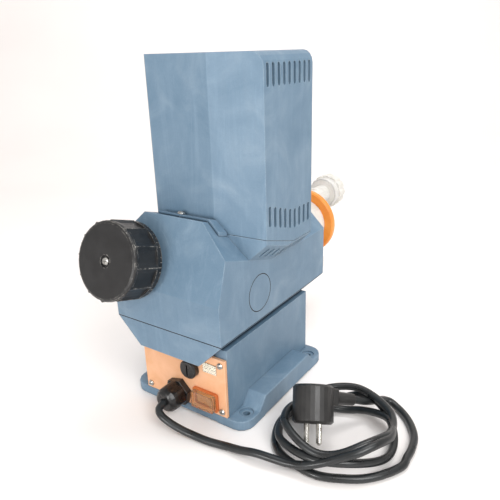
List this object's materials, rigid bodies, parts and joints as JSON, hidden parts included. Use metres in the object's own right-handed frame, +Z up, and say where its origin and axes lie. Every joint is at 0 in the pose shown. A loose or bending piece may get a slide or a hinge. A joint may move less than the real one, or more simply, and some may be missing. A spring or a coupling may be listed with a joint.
{
  "type": "diaphragm metering pump",
  "caption": "Motor-driven diaphragm metering pump in a blue moulded housing, with a scalloped stroke knob, a switch panel and a coiled mains lead",
  "frame": {"origin": "the middle of the bottom plate, on the surface that the pump stands on", "axes": "+Z is up, +Y runs along the push rod to the liquid end, and the switch panel and stroke knob face -Y"},
  "size_m": [0.2545, 0.348, 0.3],
  "materials": {
    "housing": "slightly mottled moulded grain with scuffs",
    "plate_steel": "zinc-plated sheet",
    "panel": "pale orange, fine grain",
    "ring": "orange, satin",
    "label": "printed sticker",
    "amber": "amber rocker",
    "clear_cover": "clear splash cover, tinted by the rocker behind",
    "knob": "black, edges worn light",
    "black_plastic": "black nylon",
    "plug": "moulded soft plastic",
    "cord": "smooth sheath with a sheen",
    "membrane": "rubber disc",
    "white_plastic": "translucent white",
    "ceramic": "ground",
    "bronze": "machined",
    "aluminium": "cast",
    "laminations": "stacked sheet",
    "windings": "varnished copper wire",
    "steel": "plated",
    "pins": "nickel-plated"
  },
  "bodies": {
    "housing": {"base_housing": "housing", "bearing_block_left": "aluminium", "bearing_block_right": "aluminium", "bearing_lower": "steel", "bearing_upper": "steel", "bottom_plate": "plate_steel", "clamp_ring": "ring", "cord_coil": "cord", "cord_lead": "cord", "cord_tail": "cord", "diaphragm": "membrane", "discharge_connector": "white_plastic", "discharge_union_nut": "white_plastic", "fuse_holder": "black_plastic", "gear_cover": "housing", "gland_body": "black_plastic", "gland_nut": "black_plastic", "head_screw_left_high": "steel", "head_screw_left_low": "steel", "head_screw_right_high": "steel", "head_screw_right_low": "steel", "hood_screw": "steel", "knob_bush": "aluminium", "lantern": "white_plastic", "motor_capacitor": "aluminium", "motor_hood": "housing", "motor_mount": "aluminium", "motor_shield_lower": "aluminium", "motor_shield_upper": "aluminium", "motor_stator": "windings", "panel_screw_1": "steel", "panel_screw_2": "steel", "panel_screw_3": "steel", "panel_screw_4": "steel", "plug_body": "plug", "plug_pin_1": "pins", "plug_pin_2": "pins", "pump_head": "white_plastic", "rating_label": "label", "rear_panel": "panel", "side_plug_left": "housing", "side_plug_right": "housing", "suction_connector": "white_plastic", "suction_union_nut": "white_plastic", "switch_cover": "clear_cover", "switch_frame": "panel"},
    "rotor": {"motor_rotor": "laminations", "motor_shaft": "steel", "motor_fan": "black_plastic"},
    "wheel": {"worm_wheel": "bronze", "cam_shaft": "steel"},
    "rod": {"push_rod": "steel", "return_spring": "steel"},
    "knob": {"stroke_knob": "knob", "knob_screw": "steel"},
    "spindle": {"stop_spindle": "steel"},
    "rocker": {"switch_rocker": "amber"},
    "fuse_cap": {"fuse_cap": "black_plastic"},
    "discharge_ball": {"discharge_ball": "ceramic"},
    "suction_ball": {"suction_ball": "ceramic"}
  },
  "joints": [
    {"name": "rotor_spin", "type": "hinge", "parent": "housing", "child": "rotor", "pos_m": [0, 0, 0.22], "axis": [0, 0, 1], "continuous": true},
    {"name": "wheel_spin", "type": "hinge", "parent": "housing", "child": "wheel", "pos_m": [0, -0.0252, 0.1128], "axis": [1, 0, 0], "continuous": true},
    {"name": "push_rod_slide", "type": "slide", "parent": "housing", "child": "rod", "axis": [0, 1, 0], "range_m": [0, 0.005], "stiffness_N_per_m": 600, "springref_m": -0.004},
    {"name": "knob_turn", "type": "hinge", "parent": "housing", "child": "knob", "pos_m": [-0.03, -0.07455, 0.14182], "axis": [0, -0.9548, 0.2974], "range_deg": [0, 300]},
    {"name": "stop_slide", "type": "slide", "parent": "housing", "child": "spindle", "axis": [0, -0.9548, 0.2974], "range_m": [0, 0.005]},
    {"name": "switch_tilt", "type": "hinge", "parent": "housing", "child": "rocker", "pos_m": [0.0243, -0.063, 0.0212], "axis": [0, 0, 1], "range_deg": [0, 16]},
    {"name": "fuse_cap_turn", "type": "hinge", "parent": "housing", "child": "fuse_cap", "pos_m": [0.0095, -0.065, 0.0475], "axis": [0, -1, 0], "range_deg": [0, 45]},
    {"name": "discharge_ball_lift", "type": "slide", "parent": "housing", "child": "discharge_ball", "axis": [0, 0, 1], "range_m": [0, 0.0015]},
    {"name": "suction_ball_lift", "type": "slide", "parent": "housing", "child": "suction_ball", "axis": [0, 0, 1], "range_m": [0, 0.0015]}
  ],
  "couplings": [
    {"joint": "wheel_spin", "follows": "rotor_spin", "ratio": -0.05},
    {"joint": "stop_slide", "follows": "knob_turn", "m_per_rad": 0.00095398}
  ]
}
